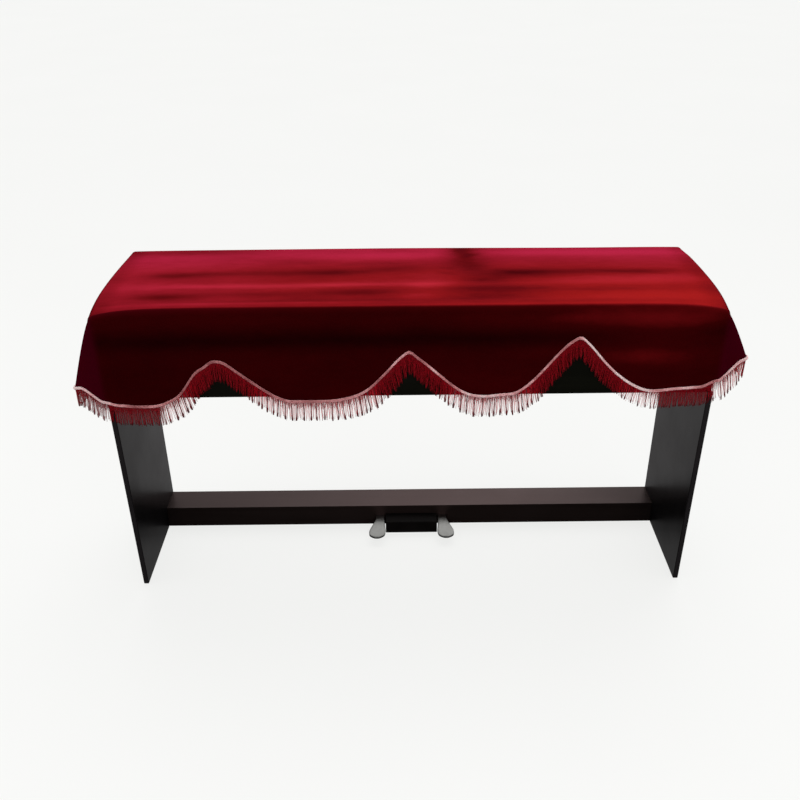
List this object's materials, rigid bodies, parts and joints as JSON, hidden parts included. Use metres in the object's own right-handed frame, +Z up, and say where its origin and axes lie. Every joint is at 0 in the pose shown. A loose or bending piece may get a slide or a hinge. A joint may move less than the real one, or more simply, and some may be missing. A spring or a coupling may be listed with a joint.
{
  "type": "piano cover on a digital piano console",
  "caption": "Velvet piano cover with a scalloped, braided and fringed hem, draped over a plain slab-leg digital piano console with sprung pedals.",
  "frame": {"origin": "on the floor, at the middle of the whole width and depth", "axes": "+Z up, +X to the player's right, -Y towards the player"},
  "size_m": [1.4812, 0.4057, 0.7649],
  "materials": {
    "velvet": "crimson cut velvet with a sheen",
    "braid": "rose-coloured plaited braid",
    "fringe": "dark red looped yarn fringe",
    "board": "satin black foiled board",
    "pedal": "satin silver"
  },
  "bodies": {
    "console": {"case": "board", "leg_left": "board", "leg_right": "board", "pedal_rail": "board", "pedal_box": "board", "cover": "velvet", "braid": "braid", "fringe": "fringe"},
    "pedal_left": {"pedal_left": "pedal"},
    "pedal_right": {"pedal_right": "pedal"}
  },
  "joints": [
    {"name": "pedal_left_press", "type": "hinge", "parent": "console", "child": "pedal_left", "pos_m": [-0.0805, 0.0895, 0.026], "axis": [1, 0, 0], "range_deg": [0, 4.5], "stiffness_Nm_per_rad": 10, "springref_deg": -3.44},
    {"name": "pedal_right_press", "type": "hinge", "parent": "console", "child": "pedal_right", "pos_m": [0.0899, 0.0895, 0.026], "axis": [1, 0, 0], "range_deg": [0, 4.5], "stiffness_Nm_per_rad": 10, "springref_deg": -3.44}
  ]
}
